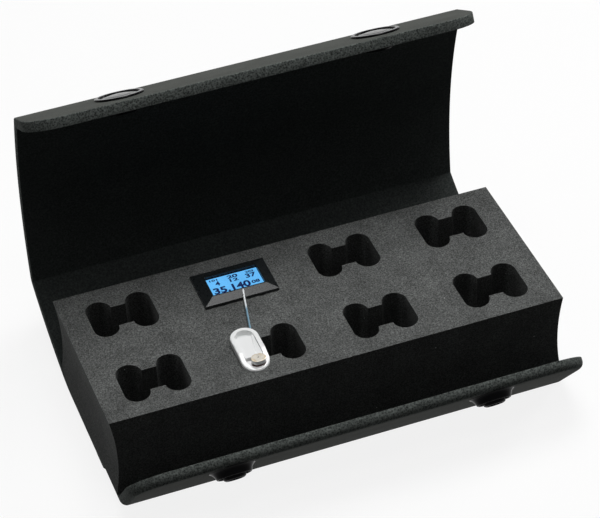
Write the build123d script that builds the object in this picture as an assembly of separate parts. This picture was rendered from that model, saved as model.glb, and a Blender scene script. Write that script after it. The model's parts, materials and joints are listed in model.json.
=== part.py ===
"""Crystal storage box: a folded foam-sheet case with a die-cut foam block, press studs,
a small lit display and one radio crystal in its holder. Open, as it stands on a table.

Millimetres. X runs along the box, Y from its front to its back, Z up. The origin is on the
underside of the base, below the middle of the foam block.
"""
from build123d import *
import os
from math import asin, cos, degrees, radians, sin, sqrt

os.makedirs("parts", exist_ok=True)

# Folded sheet
sheet_length = 199.0        # along X, both ends stay open
sheet_thickness = 4.5
free_corner_radius = 7.0    # corners of the front wall and of the flap
flap_height = 32.0          # closing flap, from its fold to its free edge
lid_bow = 5.2               # how far the lid is domed outwards
spine_bow = 1.5             # the same for the back wall
soft_bend_radius = 42.0     # the base curls up at the back, mid-thickness
soft_bend_angle = 21.0
fold_clearance = 0.3        # round each fold's knuckle
bevel_setback = 0.25        # the inner bevels of a fold stay this far from its axis

# Open pose, as degrees above the horizontal
wall_open_angle = 51.1
spine_open_angle = 25.1
lid_open_angle = 96.1
flap_open_angle = 150.5

# Foam block
block_overhang = 0.5        # past the sheet, at each end
block_depth = 81.5
block_height = 40.0
block_floor = 10.0          # plain layer under the die-cut one
block_dish = 2.0            # its cut ends are drawn in by this at half height
block_toe_radius = 30.0     # bottom back edge, clears the soft bend
block_side_gap = 0.2        # to the front and back walls when the box is shut
lid_headroom = 1.2          # from the block's top to the edge of the shut lid
wall_lid_gap = 0.3          # from the front wall's free edge to the shut lid

# Pockets: two round-ended lobes, one for each crystal of a pair, and a finger slot
pocket_pitch_x = 50.0
pocket_row_margin = 19.4    # from a row's middle to the block's front or back
pocket_columns = 4
pocket_rows = 2
lobe_width = 11.0
lobe_length = 23.0
lobe_spacing = 17.5
finger_slot_width = 12.3

# Press studs
stud_spread = 114.0         # between the left and the right stud
stud_below_edge = 11.4      # below the front wall's free edge
flap_gap = 3.8              # from the front wall to the shut flap
disc_radius = 10.5          # the stud's skirt and the cap
skirt_rim = 0.45
skirt_crown = 1.0
head_radius = 4.95
head_height = 4.7           # top of the stud above the wall
head_thickness = 2.1
head_flare = 0.5            # height of the slope under the head
head_shoulder = 0.35        # the head narrows by this, then by its crown
head_shoulder_height = 0.7
head_crown = 0.6
head_crown_height = 0.4
neck_radius = 4.5
cup_floor_radius = 3.4      # dished middle of the stud
cup_floor_depth = 0.9
post_radius = 2.5
post_bore = 1.5
post_flange_radius = 6.5
post_flange_thickness = 0.8
rolled_radius = 3.1         # flared end of a post or a barrel
rolled_thickness = 0.4
stud_fit = 0.05             # radial, between a post and what it passes through
cap_height = 1.0
cap_groove_radius = 8.9
cap_groove_width = 1.0
cap_groove_depth = 0.6
cap_groove_draft = 0.2
cap_crown_rise = 0.5        # from the groove's floor to the middle
cap_shoulder_radius = 4.6   # the crown is nearly flat inside this
cap_shoulder_rise = 0.4
cap_edge = 0.35
barrel_radius = 2.2
socket_radius = 6.4
socket_rise = 2.5           # above the flap's inner face
socket_depth = 1.3          # of its cavity below the flap's inner face
socket_floor = 0.5
socket_edge = 0.5
socket_fit = 0.2            # radial, round the stud's head
spring_wire = 0.5
spring_grip = 0.1           # the ring is this much smaller than the head
spring_from_lip = 0.9
spring_room = 0.15          # round the ring in the socket

# Display module, over the second pocket of the back row
display_column = 1
bezel_width = 33.0
bezel_depth = 21.5
bezel_shift = -0.4          # it sits a little forward of its pocket's centre
bezel_rim = 1.5
bezel_height = 3.4
window_width = 23.2
window_depth = 12.2
window_shift = -0.8         # the window is nearer the front of the bezel
window_thickness = 0.8
window_recess = 0.2
window_land = 0.5           # flat rim round the window, at the top of the slope
panel_width = 26.4
panel_depth = 14.6
lcd_thickness = 1.0
backlight_thickness = 0.6
display_fit = 0.15
case_width = 26.0
case_depth = 11.6
case_height = 21.0
case_wall = 1.0
case_flange = 0.8
board_width = 22.0
board_height = 17.0
board_thickness = 0.8
board_offset = 2.6
cell_radius = 8.0
cell_thickness = 3.2
cell_edge = 0.5
cell_contact_radius = 6.8
cell_fit = 0.05
cell_lift = 0.3             # above the case's floor
clip_thickness = 0.4
clip_width = 5.0

# Contact wire from the display's front to the crystal's holder
wire_diameter = 0.8
wire_side_start = 1.4       # it leaves the window this far right of the middle
wire_bury = 0.35            # its end lies this far outside the window, in the bezel
wire_start_drop = 0.45      # below the bezel's top
wire_knee_reach = 0.3       # in front of the bezel's foot
wire_knee_height = 2.3      # above the block
wire_knee_radius = 4.0
wire_tip_height = 2.4
wire_tip_side = 4.2         # right of the holder's middle
wire_tip_gap = 0.45         # short of the holder's back wall
wire_hole_fit = 0.05

# Crystal in its oval holder, over the left lobe of the pocket in front of the display
holder_width = 12.0
holder_length = 25.0
holder_wall = 1.9
holder_height = 3.2
holder_front_height = 0.75
holder_slope_length = 10.0  # from full height down to the front
holder_floor = 0.6
holder_rim_edge = 0.35
holder_shift_x = 0.55       # from the lobe's centre
holder_shift_y = -0.7
head_width = 6.2            # the crystal's can above the holder's floor
head_depth = 4.8
head_top = 3.75             # above the block
head_shift_x = 0.9          # from the holder's middle
head_front_wall = 1.6       # from the holder's front end to the head
band_bottom = 2.1           # white sleeve round the head, above the block
band_thickness = 0.35
crystal_cap_thickness = 0.3
stem_width = 4.6            # the can below the floor, in the lobe
stem_depth = 3.2
stem_length = 9.0           # below the block's top
stem_fit = 0.05
pin_diameter = 0.8
pin_length = 5.0
pin_spacing = 2.4
tag_top = 2.5               # folded white label that lies in the holder, above the block
tag_gap = 0.15
tag_back_gap = 3.4          # open crescent behind it
tag_head_gap = 0.4
tag_seam_width = 0.3
tag_seam_depth = 0.35
tag_seam_side = 1.9
tag_seam_turn = 8.0

half = sheet_thickness / 2
block_top = sheet_thickness + block_height
block_length = sheet_length + 2 * block_overhang
pocket_pitch_y = block_depth - 2 * pocket_row_margin

# The front wall, from its fold to its free edge, ends just below the shut lid
wall_height = block_top + lid_headroom - wall_lid_gap - half
knuckle_gap_radius = half + fold_clearance


def step(angle, distance):
    """The (y, z) move of a distance at an angle above the horizontal."""
    return Vector(distance * cos(radians(angle)), distance * sin(radians(angle)))


# Fold axes as (y, z). Those of the base follow from the block and the sheet.
fold_y = block_depth / 2 + block_side_gap + half
front_fold = Vector(-fold_y, half)
bend_start = Vector(fold_y - soft_bend_radius * sin(radians(soft_bend_angle)), half)
bend_centre = bend_start + Vector(0, soft_bend_radius)
back_fold = bend_centre + step(soft_bend_angle - 90, soft_bend_radius)

# The shut box gives the lengths of the back wall and of the lid
shut_lid_z = block_top + lid_headroom + half
spine_chord = shut_lid_z - back_fold.Y
lid_chord = back_fold.X + fold_y + half + flap_gap + half
top_fold = back_fold + step(spine_open_angle, spine_chord)
flap_fold = top_fold + step(lid_open_angle, lid_chord)
wall_direction = 180 - wall_open_angle

# How far each fold closes, for its inner bevels: the sheet turns less than the chords do
shut_angle = 90.0


def bow_angle(chord, bow):
    """Angle between the chord of a bowed strip and its end tangent."""
    radius = chord ** 2 / (8 * bow) + bow / 2
    return degrees(asin(chord / 2 / radius))


lid_end_turn = bow_angle(lid_chord, lid_bow)
spine_end_turn = bow_angle(spine_chord, spine_bow)
front_fold_closes = shut_angle
back_fold_closes = shut_angle - soft_bend_angle - spine_end_turn
top_fold_closes = shut_angle - spine_end_turn - lid_end_turn
flap_fold_closes = shut_angle - lid_end_turn


def across(section, length):
    """A solid from a (y, z) section, centred along X."""
    return extrude(Plane.YZ * section, length / 2, both=True)


def bowed_strip(start, end, bow):
    """Section of a sheet strip between two folds, bowed to the right of start to end."""
    chord = end - start
    outward = Vector(chord.Y, -chord.X).normalized()
    radius = chord.length ** 2 / (8 * bow) + bow / 2
    centre = (start + end) / 2 - outward * (radius - bow)

    def face_point(point, offset):
        return point + (point - centre).normalized() * offset

    crown = (start + end) / 2 + outward * bow
    outer = [face_point(p, half) for p in (start, crown, end)]
    inner = [face_point(p, -half) for p in (start, crown, end)]
    return make_face(ThreePointArc(*outer) + Line(outer[2], inner[2])
                     + ThreePointArc(inner[2], inner[1], inner[0]) + Line(inner[0], outer[0]))


def flat_strip(start, direction, length):
    """Section of a flat sheet strip that leaves a fold."""
    along = step(direction, length)
    side = step(direction + 90, half)
    corners = [start + side, start + along + side, start + along - side, start - side]
    return make_face(Polyline(*corners, close=True))


def disc(centre, radius):
    """A round (y, z) section."""
    return Pos(centre.X, centre.Y) * Circle(radius)


def fold_bevel(axis, into, side, closes):
    """What is cut off a strip's inner corner so that the fold can close.

    into is the strip's direction away from the axis, and side is +1 where its inner face
    is on the left of that direction.
    """
    apex = axis + step(into, bevel_setback)
    reach = 3 * sheet_thickness
    first = (180 - closes) / 2
    turns = (first, (first + 180) / 2, 180)
    corners = [apex] + [apex + step(into + side * turn, reach) for turn in turns]
    return make_face(Polyline(*corners, close=True))


def round_free_corners(panel, tip):
    """Rounds the two corners at a panel's free edge."""
    def is_corner(edge):
        middle = edge.center()
        return (abs(edge.length - sheet_thickness) < 0.01
                and abs(middle.Y - tip.X) < 0.01 and abs(middle.Z - tip.Y) < 0.01)

    return fillet(panel.edges().filter_by(is_corner), free_corner_radius)


def panel_frame(hinge, direction, distance, outward):
    """Plane on a flat panel's outer face, with its normal pointing out of the box."""
    normal = step(direction + outward * 90, 1)
    point = hinge + step(direction, distance) + normal * half
    return Plane(origin=(0, point.X, point.Y), x_dir=(1, 0, 0), z_dir=(0, normal.X, normal.Y))


def turned(profile):
    """A solid of revolution from a (radius, height) profile."""
    return revolve(Plane.XZ * profile, Axis.Z)


# Folded sheet

def make_base():
    flat_end = bend_start.X
    end_outer = bend_centre + step(soft_bend_angle - 90, soft_bend_radius + half)
    end_inner = bend_centre + step(soft_bend_angle - 90, soft_bend_radius - half)
    mid_outer = bend_centre + step(soft_bend_angle / 2 - 90, soft_bend_radius + half)
    mid_inner = bend_centre + step(soft_bend_angle / 2 - 90, soft_bend_radius - half)
    section = make_face(
        Line((front_fold.X, 0), (flat_end, 0))
        + ThreePointArc((flat_end, 0), mid_outer, end_outer)
        + Line(end_outer, end_inner)
        + ThreePointArc(end_inner, mid_inner, (flat_end, sheet_thickness))
        + Line((flat_end, sheet_thickness), (front_fold.X, sheet_thickness))
        + Line((front_fold.X, sheet_thickness), (front_fold.X, 0)))
    section -= fold_bevel(front_fold, 0, 1, front_fold_closes)
    section -= fold_bevel(back_fold, 180 + soft_bend_angle, -1, back_fold_closes)
    section += disc(front_fold, half)
    section += disc(back_fold, half)
    return across(section, sheet_length)


def make_front_wall():
    section = flat_strip(front_fold, wall_direction, wall_height)
    section -= fold_bevel(front_fold, wall_direction, -1, front_fold_closes)
    section -= disc(front_fold, knuckle_gap_radius)
    tip = front_fold + step(wall_direction, wall_height)
    wall = round_free_corners(across(section, sheet_length), tip)
    for place in stud_places(wall_stud_frame):
        wall -= place * Pos(0, 0, -sheet_thickness / 2) * Cylinder(post_radius + stud_fit, sheet_thickness)
        wall -= place * Pos(0, 0, -sheet_thickness + post_flange_thickness / 2) * Cylinder(
            post_flange_radius, post_flange_thickness)
    return wall


def make_spine():
    section = bowed_strip(back_fold, top_fold, spine_bow)
    lower = spine_open_angle - spine_end_turn
    upper = 180 + spine_open_angle + spine_end_turn
    section -= fold_bevel(back_fold, lower, 1, back_fold_closes)
    section -= fold_bevel(top_fold, upper, -1, top_fold_closes)
    section -= disc(back_fold, knuckle_gap_radius)
    section -= disc(top_fold, knuckle_gap_radius)
    return across(section, sheet_length)


def make_lid():
    section = bowed_strip(top_fold, flap_fold, lid_bow)
    section -= fold_bevel(top_fold, lid_open_angle - lid_end_turn, 1, top_fold_closes)
    section -= fold_bevel(flap_fold, 180 + lid_open_angle + lid_end_turn, -1, flap_fold_closes)
    section += disc(top_fold, half)
    section += disc(flap_fold, half)
    return across(section, sheet_length)


def make_flap():
    section = flat_strip(flap_fold, flap_open_angle, flap_height)
    section -= fold_bevel(flap_fold, flap_open_angle, 1, flap_fold_closes)
    section -= disc(flap_fold, knuckle_gap_radius)
    tip = flap_fold + step(flap_open_angle, flap_height)
    flap = round_free_corners(across(section, sheet_length), tip)
    seat_depth = socket_depth + socket_floor
    for place in stud_places(flap_stud_frame):
        flap -= place * Pos(0, 0, -sheet_thickness / 2) * Cylinder(barrel_radius + stud_fit, sheet_thickness)
        flap -= place * Pos(0, 0, -sheet_thickness + seat_depth / 2) * Cylinder(
            socket_radius + stud_fit, seat_depth)
    return flap


# Press studs. The wall's stud and the flap's cap stand on the outer faces.

stud_from_wall_fold = wall_height - stud_below_edge
stud_from_flap_fold = shut_lid_z - half - stud_from_wall_fold
wall_stud_frame = panel_frame(front_fold, wall_direction, stud_from_wall_fold, 1)
flap_stud_frame = panel_frame(flap_fold, flap_open_angle, stud_from_flap_fold, -1)


def stud_places(frame):
    """Locations of the left and the right stud on a panel's outer face."""
    return [frame.location * Pos(side * stud_spread / 2, 0, 0) for side in (-1, 1)]


def make_stud():
    """Skirt and snap head in one moulding, dished in the middle, bored for its post."""
    bore = post_radius + stud_fit
    neck_top = head_height - head_thickness
    cup_floor = head_height - cup_floor_depth
    shoulder_radius = head_radius - head_shoulder
    shoulder_bottom = head_height - head_crown_height - head_shoulder_height
    outline = Polyline(
        (bore, 0), (disc_radius, 0), (disc_radius, skirt_rim), (neck_radius, skirt_crown),
        (neck_radius, neck_top), (head_radius, neck_top + head_flare),
        (head_radius, shoulder_bottom), (shoulder_radius, head_height - head_crown_height),
        (shoulder_radius - head_crown, head_height), (cup_floor_radius, head_height),
        (cup_floor_radius, cup_floor), (bore, cup_floor), close=True)
    return turned(make_face(outline))


def make_stud_post():
    """Eyelet: flange sunk flush in the wall's inner face, rolled over in the stud's dish."""
    bottom = -sheet_thickness
    cup_floor = head_height - cup_floor_depth
    outline = Polyline(
        (post_bore, bottom), (post_flange_radius, bottom),
        (post_flange_radius, bottom + post_flange_thickness),
        (post_radius, bottom + post_flange_thickness), (post_radius, cup_floor),
        (rolled_radius, cup_floor), (post_radius, cup_floor + rolled_thickness),
        (post_bore, cup_floor + rolled_thickness), close=True)
    return turned(make_face(outline))


def make_cap():
    """Round cap with a groove inside its rim, a low crown and a barrel through the flap."""
    groove_inner = cap_groove_radius - cap_groove_width
    groove_floor = cap_height - cap_groove_depth
    rivet = -(sheet_thickness - socket_depth)
    outline = Polyline(
        (0, rivet - rolled_thickness), (rolled_radius, rivet - rolled_thickness),
        (barrel_radius, rivet), (barrel_radius, 0),
        (disc_radius, 0), (disc_radius, cap_height - cap_edge),
        (disc_radius - cap_edge, cap_height), (cap_groove_radius, cap_height),
        (cap_groove_radius - cap_groove_draft, groove_floor), (groove_inner, groove_floor),
        (cap_shoulder_radius, groove_floor + cap_shoulder_rise),
        (0, groove_floor + cap_crown_rise), close=True)
    return turned(make_face(outline))


socket_lip = -sheet_thickness - socket_rise
socket_mouth = head_radius + socket_fit
spring_inner = head_radius - spring_grip
spring_outer = spring_inner + spring_wire


def make_socket():
    """Cup let into the flap's inner face, with a ledge inside its mouth for its ring spring."""
    cavity = -sheet_thickness + socket_depth
    bottom = cavity + socket_floor
    bore = spring_outer + spring_room
    hole = barrel_radius + stud_fit
    outline = Polyline(
        (hole, bottom), (socket_radius, bottom), (socket_radius, socket_lip + socket_edge),
        (socket_radius - socket_edge, socket_lip), (socket_mouth, socket_lip),
        (socket_mouth, socket_lip + spring_from_lip), (bore, socket_lip + spring_from_lip),
        (bore, cavity), (hole, cavity), close=True)
    return turned(make_face(outline))


def make_socket_spring():
    """Flat ring spring on the socket's ledge."""
    bottom = socket_lip + spring_from_lip
    outline = Polyline((spring_inner, bottom), (spring_outer, bottom),
                       (spring_outer, bottom + spring_wire), (spring_inner, bottom + spring_wire),
                       close=True)
    return turned(make_face(outline))


# Foam block

def dog_bone():
    """Plan of one pocket."""
    lobe = SlotOverall(lobe_length, lobe_width, rotation=90)
    bone = Rectangle(lobe_spacing, finger_slot_width)
    for side in (-1, 1):
        bone += Pos(side * lobe_spacing / 2, 0) * lobe
    return bone


def pocket_centre(column, row):
    return Vector((column - (pocket_columns - 1) / 2) * pocket_pitch_x,
                  (row - (pocket_rows - 1) / 2) * pocket_pitch_y)


def block_layer(bottom, top):
    """One glued layer of the block, with its dished ends and rounded bottom back edge."""
    front = -block_depth / 2
    back = block_depth / 2
    toe_start = bend_start.X
    toe_rise = block_toe_radius - sqrt(block_toe_radius ** 2 - (back - toe_start) ** 2)
    toe_turn = degrees(asin((back - toe_start) / block_toe_radius))
    toe_centre = Vector(toe_start, sheet_thickness + block_toe_radius)
    outline = make_face(
        Line((front, sheet_thickness), (toe_start, sheet_thickness))
        + ThreePointArc((toe_start, sheet_thickness),
                        toe_centre + step(toe_turn / 2 - 90, block_toe_radius),
                        (back, sheet_thickness + toe_rise))
        + Line((back, sheet_thickness + toe_rise), (back, block_top))
        + Line((back, block_top), (front, block_top))
        + Line((front, block_top), (front, sheet_thickness)))
    layer = across(outline, block_length)
    layer &= Pos(0, 0, (bottom + top) / 2) * Box(2 * block_length, 2 * block_depth, top - bottom)
    dish_radius = block_height ** 2 / (8 * block_dish) + block_dish / 2
    for side in (-1, 1):
        axis_x = side * (block_length / 2 - block_dish + dish_radius)
        cutter = Rot(90, 0, 0) * Cylinder(dish_radius, 2 * block_depth)
        layer -= Pos(axis_x, 0, sheet_thickness + block_height / 2) * cutter
    return layer


def make_insert_block():
    layer = block_layer(sheet_thickness + block_floor, block_top)
    pockets = Sketch()
    for column in range(pocket_columns):
        for row in range(pocket_rows):
            centre = pocket_centre(column, row)
            pockets += Pos(centre.X, centre.Y) * dog_bone()
    return layer - extrude(Pos(0, 0, block_top) * pockets, -(block_height - block_floor))


def make_insert_floor():
    return block_layer(sheet_thickness, sheet_thickness + block_floor)


# Display module

display_pocket = pocket_centre(display_column, pocket_rows - 1)
bezel_centre = display_pocket + Vector(0, bezel_shift)
window_centre = bezel_centre + Vector(0, window_shift)
window_bottom = block_top + bezel_height - window_recess - window_thickness
panel_room = Rectangle(panel_width + 2 * display_fit, panel_depth + 2 * display_fit)


def on_block(place, height, sketch, thickness):
    """A plate from a plan sketch, set at a height above the block's top."""
    return extrude(Pos(place.X, place.Y, block_top + height) * sketch, thickness)


def wire_path():
    """Down through the bezel's front slope, then flat to the crystal's holder."""
    window_front = window_centre.Y - window_depth / 2
    start = Vector(window_centre.X + wire_side_start, window_front - wire_bury,
                   block_top + bezel_height - wire_start_drop)
    end_radius = holder_width / 2
    back_centre = holder_centre + Vector(0, holder_length / 2 - end_radius)
    holder_back_here = back_centre.Y + sqrt(end_radius ** 2 - wire_tip_side ** 2)
    tip = Vector(holder_centre.X + wire_tip_side, holder_back_here + wire_tip_gap,
                 block_top + wire_tip_height)
    knee_y = bezel_centre.Y - bezel_depth / 2 - wire_knee_reach
    share = (start.Y - knee_y) / (start.Y - tip.Y)
    knee = Vector(start.X + share * (tip.X - start.X), knee_y, block_top + wire_knee_height)
    return FilletPolyline(start, knee, tip, radius=wire_knee_radius)


def swept_wire(diameter):
    path = wire_path()
    start = Plane(origin=path @ 0, z_dir=path % 0)
    return sweep(start * Circle(diameter / 2), path=path)


def make_bezel():
    """Sloped picture frame, hollow below for the glass panel."""
    outer = Pos(0, 0, block_top) * Pos(bezel_centre.X, bezel_centre.Y)
    frame = extrude(outer * Rectangle(bezel_width, bezel_depth), bezel_rim)
    slope_top = Pos(window_centre.X, window_centre.Y, block_top + bezel_height)
    frame += loft([outer * Pos(0, 0, bezel_rim) * Rectangle(bezel_width, bezel_depth),
                   slope_top * Rectangle(window_width + 2 * window_land, window_depth + 2 * window_land)])
    frame -= on_block(window_centre, 0, Rectangle(window_width, window_depth), bezel_height)
    frame -= on_block(window_centre, 0, panel_room, window_bottom - block_top)
    return frame - swept_wire(wire_diameter + 2 * wire_hole_fit)


def make_window():
    pane = Rectangle(window_width - 2 * display_fit, window_depth - 2 * display_fit)
    return on_block(window_centre, window_bottom - block_top, pane, window_thickness)


def make_lcd():
    glass = Rectangle(panel_width, panel_depth)
    return on_block(window_centre, window_bottom - block_top - lcd_thickness, glass, lcd_thickness)


def make_backlight():
    guide = Rectangle(panel_width, panel_depth)
    height = window_bottom - block_top - lcd_thickness - backlight_thickness
    return on_block(window_centre, height, guide, backlight_thickness)


def make_display_case():
    """Open-topped housing that plugs into the pocket, with a flange under the light guide."""
    case_box = Rectangle(case_width, case_depth)
    room = Rectangle(case_width - 2 * case_wall, case_depth - 2 * case_wall)
    case = on_block(display_pocket, -case_height, case_box, case_height)
    case = fillet(case.edges().filter_by(Axis.Z), case_wall)
    case += on_block(window_centre, 0, Rectangle(panel_width, panel_depth), case_flange)
    return case - on_block(display_pocket, case_wall - case_height, room, case_height)


def make_display_board():
    board = Box(board_width, board_thickness, board_height)
    z = block_top - display_fit - board_height / 2
    return Pos(display_pocket.X, display_pocket.Y + board_offset, z) * board


cell_y = display_pocket.Y + board_offset - board_thickness / 2 - clip_thickness - cell_thickness / 2
cell_z = block_top - case_height + case_wall + cell_radius + cell_lift


def make_cell():
    """Coin cell on edge, its can stepped in on the contact side."""
    can = Cylinder(cell_radius, cell_thickness - cell_edge)
    contact = Pos(0, 0, (cell_thickness - cell_edge) / 2) * Cylinder(cell_contact_radius, cell_edge)
    cell = Pos(0, 0, -cell_edge / 2) * can + contact
    return Pos(display_pocket.X, cell_y, cell_z) * Rot(-90, 0, 0) * cell


def make_cell_clip():
    """Bent strip: one leg on the board side of the cell, the other round its front face."""
    reach = cell_thickness + 2 * clip_thickness
    top = cell_z + cell_radius + clip_thickness + cell_fit
    leg_height = cell_radius + clip_thickness
    back = cell_y + cell_thickness / 2 + clip_thickness
    bridge = Pos(0, back - reach / 2, top - clip_thickness / 2) * Box(clip_width, reach, clip_thickness)
    rear_leg = Pos(0, back - clip_thickness / 2, top - leg_height / 2) * Box(
        clip_width, clip_thickness, leg_height)
    front_leg = Pos(0, back - reach + clip_thickness / 2, top - leg_height / 2) * Box(
        clip_width, clip_thickness, leg_height)
    return Pos(display_pocket.X, 0, 0) * (bridge + rear_leg + front_leg)


def make_contact_wire():
    return swept_wire(wire_diameter)


# Crystal

crystal_lobe = pocket_centre(display_column, 0) + Vector(-lobe_spacing / 2, 0)
holder_centre = crystal_lobe + Vector(holder_shift_x, holder_shift_y)
head_centre = Vector(holder_centre.X + head_shift_x,
                     holder_centre.Y - holder_length / 2 + head_front_wall + head_depth / 2)


def holder_outline(inset=0.0):
    return SlotOverall(holder_length - 2 * inset, holder_width - 2 * inset, rotation=90)


def head_outline(inset=0.0):
    return SlotOverall(head_width - 2 * inset, head_depth - 2 * inset)


def make_crystal_holder():
    """Oval pull loop with a floor. Its front slopes down to let the crystal's head show."""
    ring = on_block(holder_centre, 0, holder_outline(), holder_height)
    front = holder_centre.Y - holder_length / 2
    above_slope = make_face(Polyline(
        (front, block_top + holder_front_height),
        (front + holder_slope_length, block_top + holder_height),
        (front, block_top + 2 * holder_height), close=True))
    ring -= across(above_slope, 2 * holder_width + 2 * abs(holder_centre.X))
    ring = chamfer(ring.edges().filter_by(is_upper_rim), holder_rim_edge)
    ring -= on_block(holder_centre, holder_floor, holder_outline(holder_wall), holder_height)
    ring -= on_block(head_centre, holder_floor, head_outline(-stem_fit), holder_height)
    return ring - on_block(head_centre, 0, SlotOverall(
        stem_width + 2 * stem_fit, stem_depth + 2 * stem_fit), holder_height)


def is_upper_rim(edge):
    """Whether an edge is on the holder's outer rim: above its foot and not upright."""
    above_foot = edge.center().Z > block_top + holder_front_height / 2
    upright = abs((edge % 0.5).Z) > 0.99
    across_top = edge.geom_type == GeomType.LINE and abs((edge % 0.5).X) > 0.99
    return above_foot and not upright and not across_top


def make_crystal_can():
    """The can's head on the holder's floor and its stem in the lobe."""
    can = on_block(head_centre, holder_floor, head_outline(), band_bottom - holder_floor)
    can += on_block(head_centre, band_bottom, head_outline(band_thickness), head_top - band_bottom)
    return can + on_block(head_centre, -stem_length, SlotOverall(stem_width, stem_depth),
                          stem_length + holder_floor)


def make_crystal_band():
    sleeve = head_outline() - head_outline(band_thickness)
    return on_block(head_centre, band_bottom, sleeve, head_top - band_bottom)


def make_crystal_cap():
    cap = on_block(head_centre, head_top, head_outline(), crystal_cap_thickness)
    return chamfer(cap.faces().sort_by(Axis.Z)[-1].edges(), crystal_cap_thickness / 2)


def make_crystal_pins():
    pins = [on_block(head_centre + Vector(side * pin_spacing / 2, 0), -stem_length - pin_length,
                     Circle(pin_diameter / 2), pin_length) for side in (-1, 1)]
    return Compound(children=pins)


def make_crystal_tag():
    """Folded label: fills the holder up to the crystal's head, with its seam on top."""
    back = holder_centre.Y + holder_length / 2 - holder_wall - tag_back_gap
    front = head_centre.Y + head_depth / 2 + tag_head_gap
    stay = Pos(0, (front + back) / 2 - holder_centre.Y) * Rectangle(holder_width, back - front)
    plan = holder_outline(holder_wall + tag_gap) & stay
    tag = on_block(holder_centre, holder_floor, plan, tag_top - holder_floor)
    seam = Pos(tag_seam_side, 0) * Rectangle(tag_seam_width, holder_length, rotation=-tag_seam_turn)
    return tag - on_block(holder_centre, tag_top - tag_seam_depth, seam, holder_height)


def write(name, shape):
    """One STEP file for each named piece."""
    export_step(shape, os.path.join("parts", name + ".step"))


single_pieces = {
    "base_panel": make_base,
    "front_wall": make_front_wall,
    "spine_panel": make_spine,
    "lid_panel": make_lid,
    "lid_flap": make_flap,
    "insert_block": make_insert_block,
    "insert_floor": make_insert_floor,
    "display_bezel": make_bezel,
    "display_window": make_window,
    "display_lcd": make_lcd,
    "display_backlight": make_backlight,
    "display_case": make_display_case,
    "display_board": make_display_board,
    "display_cell": make_cell,
    "display_cell_clip": make_cell_clip,
    "contact_wire": make_contact_wire,
    "crystal_holder": make_crystal_holder,
    "crystal_can": make_crystal_can,
    "crystal_band": make_crystal_band,
    "crystal_cap": make_crystal_cap,
    "crystal_tag": make_crystal_tag,
    "crystal_pins": make_crystal_pins,
}
stud_pieces = {
    "stud": (make_stud, wall_stud_frame),
    "stud_post": (make_stud_post, wall_stud_frame),
    "cap": (make_cap, flap_stud_frame),
    "socket": (make_socket, flap_stud_frame),
    "socket_spring": (make_socket_spring, flap_stud_frame),
}

for name, make in single_pieces.items():
    write(name, make())
for name, (make, frame) in stud_pieces.items():
    for side, place in zip(("left", "right"), stud_places(frame)):
        write(side + "_" + name, place * make())
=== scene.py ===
"""Looks of the crystal storage box: the folded foam sheet, the die-cut block, the press studs,
the lit display and the crystal in its holder. Metres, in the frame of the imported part."""
import json
from math import atan2, cos, degrees, radians, sin, tan

import bpy
from mathutils import Matrix, Vector


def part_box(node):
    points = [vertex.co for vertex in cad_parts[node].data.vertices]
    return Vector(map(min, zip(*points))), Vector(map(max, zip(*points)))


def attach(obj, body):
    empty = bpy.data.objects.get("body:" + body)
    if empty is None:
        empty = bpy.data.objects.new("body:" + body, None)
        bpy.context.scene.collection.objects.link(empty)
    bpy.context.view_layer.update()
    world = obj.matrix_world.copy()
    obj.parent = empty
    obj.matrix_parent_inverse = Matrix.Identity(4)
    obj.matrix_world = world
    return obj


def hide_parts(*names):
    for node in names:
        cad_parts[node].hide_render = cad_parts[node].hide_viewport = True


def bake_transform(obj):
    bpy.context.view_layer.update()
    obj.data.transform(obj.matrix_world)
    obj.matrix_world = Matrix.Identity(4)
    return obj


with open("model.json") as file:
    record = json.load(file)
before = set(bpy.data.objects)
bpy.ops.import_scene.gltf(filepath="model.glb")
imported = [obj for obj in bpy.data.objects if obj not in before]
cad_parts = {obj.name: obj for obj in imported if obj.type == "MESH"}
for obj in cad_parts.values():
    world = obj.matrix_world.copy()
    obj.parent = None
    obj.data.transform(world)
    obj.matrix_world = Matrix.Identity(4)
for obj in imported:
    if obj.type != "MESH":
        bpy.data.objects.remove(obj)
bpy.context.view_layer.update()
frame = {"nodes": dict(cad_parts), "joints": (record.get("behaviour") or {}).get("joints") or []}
bpy.ops.object.select_all(action="DESELECT")

MM = 0.001
NODES = frame["nodes"]
FOLDS = {j["name"]: Vector(j["pos_m"]) for j in frame["joints"] if j["type"] == "hinge"}

# Camera, fitted to the photograph of 600 by 518 pixels
PHOTO_WIDTH = 600
FOCAL_PIXELS = 2586.07
CAMERA_AZIMUTH = -18.571
CAMERA_ELEVATION = 39.937
CAMERA_ROLL = -2.76
CAMERA_DISTANCE = 1092.5 * MM
CAMERA_SHIFT_RIGHT = 2.801 * MM
CAMERA_SHIFT_UP = -17.157 * MM
CAMERA_NEAR = 10 * MM
SENSOR_WIDTH = 36.0

# Folded sheet. Headings are the directions of its panels in degrees, from the back upwards.
SHEET_LENGTH = 199.4 * MM
SHEET_THICKNESS = 4.5 * MM
WALL_HEIGHT = 43.15 * MM
FLAP_HEIGHT = 32 * MM
FREE_CORNER = 17 * MM
FREE_EDGE_SPREAD = 0.008          # the free edges stand this share wider than the folds
SOFT_BEND_RADIUS = 42 * MM
SOFT_BEND_TURN = 21.0
FOLD_RADIUS = 2.55 * MM
EASE_RADIUS = 20 * MM
LID_BOW = 5.2 * MM
SPINE_BOW = 1.5 * MM
BASE_HEADING = 180.0
WALL_HEADING = 128.9
FLAP_HEADING = 150.5
BASE_SEAM = -10 * MM
WALL_EDGE_ROUNDING = 3.0 * MM     # the wall's outer edge is worn round,
PLAIN_BASE_EDGE = 12 * MM         # and plain again under the base, this far from its seam
SKIN_EDGE_ROUNDING = 0.4 * MM
OPEN_EDGE_ROUNDING = 0.15 * MM

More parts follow.
